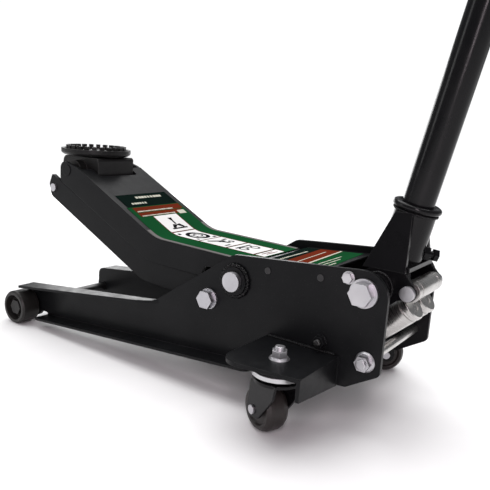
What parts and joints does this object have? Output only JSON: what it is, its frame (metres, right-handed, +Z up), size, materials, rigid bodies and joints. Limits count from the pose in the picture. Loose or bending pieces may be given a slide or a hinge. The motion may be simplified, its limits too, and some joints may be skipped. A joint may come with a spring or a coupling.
{
  "type": "hydraulic trolley jack",
  "caption": "Low-profile hydraulic trolley jack with bent lift arm, toothed saddle, casters and twin pump handle.",
  "frame": {"origin": "floor level, mid-plane, halfway between the front of the rollers and the end of the handle", "axes": "+X from the saddle towards the handle, +Y across the frame, +Z up"},
  "size_m": [0.9442, 0.399, 1.3232],
  "materials": {
    "black_paint": "satin black powder coat",
    "black_cast": "black painted casting",
    "roller_steel": "black roller, worn tread",
    "wheel_plastic": "hard brown-black plastic",
    "gloss_black": "gloss black paint",
    "grip_rubber": "ribbed rubber",
    "bright_steel": "turned bright steel",
    "dark_steel": "blackened steel",
    "zinc": "bright zinc plating"
  },
  "bodies": {
    "frame": {"side_plate_left": "black_paint", "side_plate_right": "black_paint", "pivot_bosses": "black_paint", "caster_bracket_left": "black_paint", "caster_bracket_right": "black_paint", "cover_plate": "black_paint", "plug_welds": "black_paint", "pivot_shaft": "zinc", "link_bolts": "zinc", "socket_bolts": "zinc", "tie_rod": "zinc", "tie_rod_nuts": "zinc", "unit_bolts": "black_paint", "cover_bolts": "zinc", "front_axle": "dark_steel", "axle_nuts": "zinc", "axle_spacers": "black_paint", "caster_races": "zinc", "kingpins": "zinc", "pump_block": "black_paint", "pump_barrels": "bright_steel", "lift_cylinder": "bright_steel", "gland_nut": "black_paint", "reservoir": "black_paint", "filler_plug": "zinc", "return_spring_left": "zinc", "return_spring_right": "zinc"},
    "roller_left": {"front_roller_left": "roller_steel"},
    "roller_right": {"front_roller_right": "roller_steel"},
    "caster_left": {"caster_fork_left": "black_paint", "caster_axle_left": "zinc"},
    "caster_right": {"caster_fork_right": "black_paint", "caster_axle_right": "zinc"},
    "wheel_left": {"caster_wheel_left": "wheel_plastic"},
    "wheel_right": {"caster_wheel_right": "wheel_plastic"},
    "arm": {"lift_arm": "black_paint", "arm_crank": "black_paint", "crank_pin": "dark_steel"},
    "link_left": {"link_bar_left": "black_paint"},
    "link_right": {"link_bar_right": "black_paint"},
    "yoke": {"saddle_yoke": "black_cast", "yoke_pins": "dark_steel", "link_pins": "zinc"},
    "saddle": {"saddle": "black_cast"},
    "ram": {"ram": "bright_steel"},
    "socket": {"socket_tube": "black_paint", "socket_cheeks": "black_paint", "roller_pin": "zinc", "clamp_bolt": "black_paint"},
    "press_roller": {"press_roller": "bright_steel"},
    "handle": {"handle_lower": "gloss_black", "handle_upper": "gloss_black", "handle_grip": "grip_rubber", "handle_screw": "zinc"},
    "cap_left": {"pump_cap_left": "bright_steel"},
    "cap_right": {"pump_cap_right": "bright_steel"},
    "release": {"release_valve": "zinc"}
  },
  "joints": [
    {"name": "arm_lift", "type": "hinge", "parent": "frame", "child": "arm", "pos_m": [0.02092, 0, 0.169], "axis": [0, 1, 0], "range_deg": [-30, 30]},
    {"name": "link_left_swing", "type": "hinge", "parent": "frame", "child": "link_left", "pos_m": [-0.02408, -0.0615, 0.133], "axis": [0, 1, 0], "range_deg": [-31, 31]},
    {"name": "link_right_swing", "type": "hinge", "parent": "frame", "child": "link_right", "pos_m": [-0.02408, 0.0615, 0.133], "axis": [0, 1, 0], "range_deg": [-31, 31]},
    {"name": "yoke_level", "type": "hinge", "parent": "arm", "child": "yoke", "pos_m": [-0.36608, 0, 0.286], "axis": [0, 1, 0], "range_deg": [-31, 31]},
    {"name": "saddle_spin", "type": "hinge", "parent": "yoke", "child": "saddle", "pos_m": [-0.37408, 0, 0.309], "axis": [0, 0, 1], "continuous": true},
    {"name": "ram_slide", "type": "slide", "parent": "frame", "child": "ram", "axis": [-1, 0, 0], "range_m": [-0.036, 0.036], "deforming": ["return_spring_left", "return_spring_right"]},
    {"name": "handle_pump", "type": "hinge", "parent": "frame", "child": "socket", "pos_m": [0.21392, 0, 0.193], "axis": [0, 1, 0], "range_deg": [0, 48], "stiffness_Nm_per_rad": 11, "springref_deg": -42.97},
    {"name": "press_roller_spin", "type": "hinge", "parent": "socket", "child": "press_roller", "pos_m": [0.25392, 0, 0.193], "axis": [0, 1, 0], "continuous": true},
    {"name": "cap_left_slide", "type": "slide", "parent": "frame", "child": "cap_left", "axis": [-0.7431, 0, -0.6691], "range_m": [0, 0.0298]},
    {"name": "cap_right_slide", "type": "slide", "parent": "frame", "child": "cap_right", "axis": [-0.7431, 0, -0.6691], "range_m": [0, 0.0298]},
    {"name": "handle_twist", "type": "hinge", "parent": "socket", "child": "handle", "pos_m": [0.23437, 0, 0.29089], "axis": [0.2045, 0, 0.9789], "range_deg": [-90, 90]},
    {"name": "valve_turn", "type": "hinge", "parent": "frame", "child": "release", "pos_m": [0.15292, 0, 0.14], "axis": [0, 0, 1], "range_deg": [-91, 91]},
    {"name": "roller_left_spin", "type": "hinge", "parent": "frame", "child": "roller_left", "pos_m": [-0.44258, -0.112, 0.03], "axis": [0, 1, 0], "continuous": true},
    {"name": "roller_right_spin", "type": "hinge", "parent": "frame", "child": "roller_right", "pos_m": [-0.44258, 0.112, 0.03], "axis": [0, 1, 0], "continuous": true},
    {"name": "caster_left_swivel", "type": "hinge", "parent": "frame", "child": "caster_left", "pos_m": [0.13642, -0.1495, 0.08], "axis": [0, 0, 1], "continuous": true},
    {"name": "caster_right_swivel", "type": "hinge", "parent": "frame", "child": "caster_right", "pos_m": [0.13642, 0.1495, 0.08], "axis": [0, 0, 1], "continuous": true},
    {"name": "wheel_left_spin", "type": "hinge", "parent": "caster_left", "child": "wheel_left", "pos_m": [0.11815, -0.14136, 0.031], "axis": [-0.4067, -0.9135, 0], "continuous": true},
    {"name": "wheel_right_spin", "type": "hinge", "parent": "caster_right", "child": "wheel_right", "pos_m": [0.15319, 0.16039, 0.031], "axis": [0.5446, -0.8387, 0], "continuous": true}
  ],
  "couplings": [
    {"joint": "link_left_swing", "follows": "arm_lift", "ratio": 1},
    {"joint": "link_right_swing", "follows": "arm_lift", "ratio": 1},
    {"joint": "yoke_level", "follows": "arm_lift", "ratio": -1},
    {"joint": "ram_slide", "follows": "arm_lift", "m_per_rad": 0.067},
    {"joint": "cap_left_slide", "follows": "handle_pump", "m_per_rad": 0.0355},
    {"joint": "cap_right_slide", "follows": "handle_pump", "m_per_rad": 0.0355},
    {"joint": "valve_turn", "follows": "handle_twist", "ratio": 1}
  ]
}
